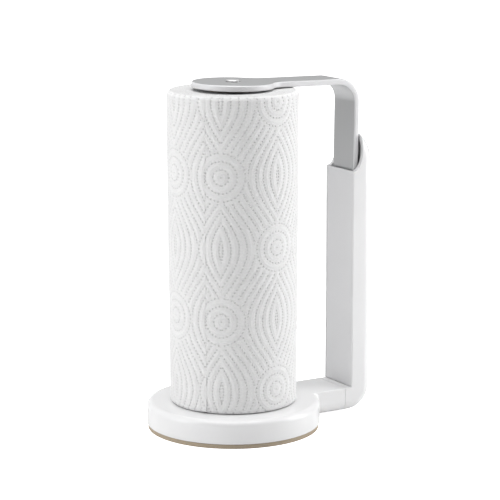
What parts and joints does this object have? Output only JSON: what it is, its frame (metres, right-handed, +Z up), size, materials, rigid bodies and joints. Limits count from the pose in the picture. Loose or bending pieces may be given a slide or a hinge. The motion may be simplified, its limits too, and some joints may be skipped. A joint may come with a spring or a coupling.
{
  "type": "paper towel holder",
  "caption": "Upright kitchen roll holder: weighted round base, side handle column, and a spring-loaded metal arm whose disc clamps the roll from above.",
  "frame": {"origin": "centre of the anti-slip pad's underside, on the roll's axis", "axes": "+Z up along the roll's axis, +X from the roll's axis towards the handle column"},
  "size_m": [0.1979, 0.145, 0.2919],
  "materials": {
    "gloss_shell": "white glossy moulded shell",
    "front_cover": "white semi-gloss front cover",
    "inner_plastic": "grey moulded inner parts",
    "arm_metal": "satin, fine brushed strap",
    "cap_metal": "polished axle cap",
    "zinc": "zinc-plated steel hardware",
    "ballast": "cast ballast plate",
    "pad": "tan anti-slip pad",
    "tissue": "white embossed paper towel",
    "core_board": "wound board tube"
  },
  "bodies": {
    "stand": {"base_shell": "gloss_shell", "ballast_plate": "ballast", "bottom_cover": "inner_plastic", "antislip_pad": "pad", "cover_screw_1": "zinc", "cover_screw_2": "zinc", "cover_screw_3": "zinc", "cover_screw_4": "zinc", "handle_bracket": "zinc", "bracket_base_screw_1": "zinc", "bracket_base_screw_2": "zinc", "bracket_handle_screw_1": "zinc", "bracket_handle_screw_2": "zinc", "column_shell": "gloss_shell", "column_cover": "front_cover", "guide_bush": "inner_plastic", "spring_anchor_pin": "zinc", "return_spring": "zinc", "hub_axle": "zinc", "axle_nut": "zinc"},
    "arm": {"arm_strap": "arm_metal", "slider_shoe": "inner_plastic", "shoe_rivet_1": "zinc", "shoe_rivet_2": "zinc", "spring_hook_pin": "zinc", "plug_axle": "cap_metal", "axle_clip": "zinc", "plug_washer": "inner_plastic"},
    "upper_plug": {"core_plug": "inner_plastic"},
    "roll": {"turntable_hub": "inner_plastic", "cardboard_core": "core_board", "paper_roll": "tissue"}
  },
  "joints": [
    {"name": "arm_slide", "type": "slide", "parent": "stand", "child": "arm", "axis": [0.014, 0, 0.9999], "range_m": [0, 0.045], "stiffness_N_per_m": 80, "springref_m": -0.04, "deforming": ["return_spring"]},
    {"name": "roll_spin", "type": "hinge", "parent": "stand", "child": "roll", "pos_m": [0, 0, 0.0232], "axis": [0, 0, 1], "continuous": true},
    {"name": "plug_spin", "type": "hinge", "parent": "arm", "child": "upper_plug", "pos_m": [0, 0, 0.28513], "axis": [0.0209, 0, 0.9998], "continuous": true}
  ],
  "couplings": [
    {"joint": "plug_spin", "follows": "roll_spin", "ratio": 1}
  ]
}
